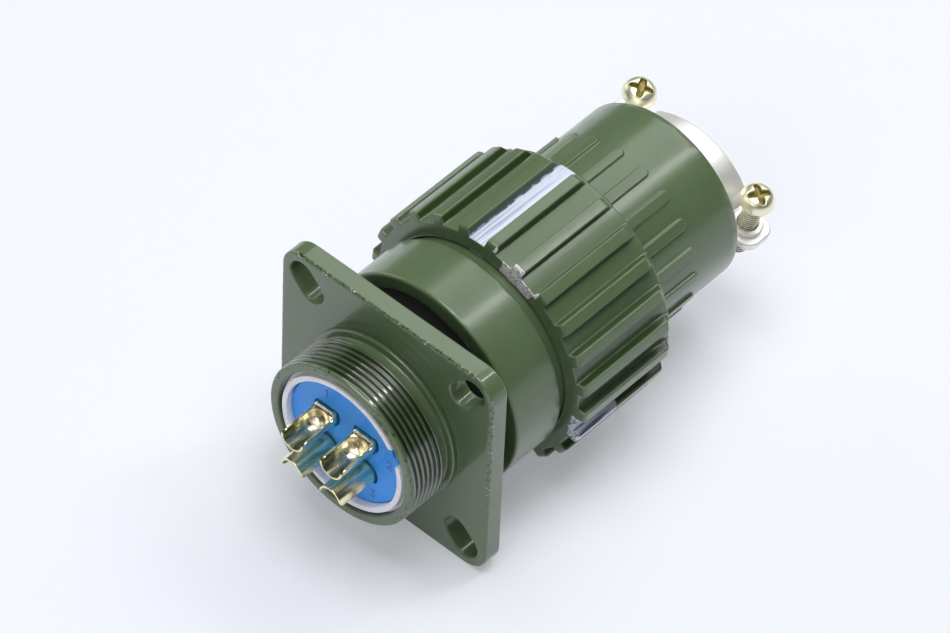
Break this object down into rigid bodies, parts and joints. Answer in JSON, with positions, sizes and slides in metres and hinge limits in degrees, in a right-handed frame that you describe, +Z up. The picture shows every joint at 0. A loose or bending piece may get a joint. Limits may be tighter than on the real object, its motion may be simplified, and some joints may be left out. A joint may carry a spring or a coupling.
{
  "type": "circular multi-pin connector pair",
  "caption": "Mated circular connector: square-flange panel receptacle with solder cups, and a cable plug with ribbed release ring, backshell and screw cable clamp.",
  "frame": {"origin": "on the connector axis at the flange face that sits on a panel, at the centre of the four fixing slots", "axes": "+X along the connector from the solder cups to the cable clamp, +Z up the flange's upright sides, +Y to the left seen from the solder cups"},
  "size_m": [0.0861, 0.0426, 0.0426],
  "materials": {
    "olive_paint": "glossy olive enamel with chips on edges",
    "blue_plastic": "moulded, satin gloss",
    "gold_plate": "polished gold plating",
    "white_ring": "smooth, off-white",
    "black_rubber": "satin black",
    "bright_nickel": "smooth warm nickel plating",
    "yellow_zinc": "pale yellow passivated zinc",
    "spring_steel": "plain ground steel"
  },
  "bodies": {
    "receptacle": {"receptacle_shell": "olive_paint", "receptacle_insulator": "blue_plastic", "receptacle_front_insulator": "blue_plastic", "receptacle_retaining_ring": "white_ring", "receptacle_face_seal": "black_rubber", "pin_contact_1": "gold_plate", "pin_contact_2": "gold_plate", "pin_contact_3": "gold_plate", "pin_contact_4": "gold_plate"},
    "plug": {"plug_shell": "olive_paint", "plug_insulator": "blue_plastic", "plug_rear_insulator": "blue_plastic", "plug_retaining_ring": "white_ring", "interface_seal": "black_rubber", "latch_ring": "spring_steel", "socket_contact_1": "gold_plate", "socket_contact_2": "gold_plate", "socket_contact_3": "gold_plate", "socket_contact_4": "gold_plate", "coupling_spring": "spring_steel", "spring_seat": "spring_steel", "seat_snap_ring": "spring_steel", "backshell": "olive_paint", "backshell_seal": "black_rubber", "cable_grommet": "black_rubber", "grommet_washer": "spring_steel", "clamp_seat": "bright_nickel", "clamp_screw_left": "yellow_zinc", "clamp_screw_right": "yellow_zinc"},
    "release_ring": {"coupling_ring": "olive_paint", "coupling_ring_cap": "olive_paint"},
    "clamp_strap": {"clamp_bar": "bright_nickel", "clamp_washers": "spring_steel"}
  },
  "joints": [
    {"name": "plug_pull", "type": "slide", "parent": "receptacle", "child": "plug", "axis": [1, 0, 0], "range_m": [0, 0.03]},
    {"name": "ring_release", "type": "slide", "parent": "plug", "child": "release_ring", "axis": [1, 0, 0], "range_m": [0, 0.004], "stiffness_N_per_m": 1500, "springref_m": -0.001, "deforming": ["coupling_spring"]},
    {"name": "clamp_lift", "type": "slide", "parent": "plug", "child": "clamp_strap", "axis": [0, -0.2334, 0.9724], "range_m": [0, 0.005]}
  ]
}
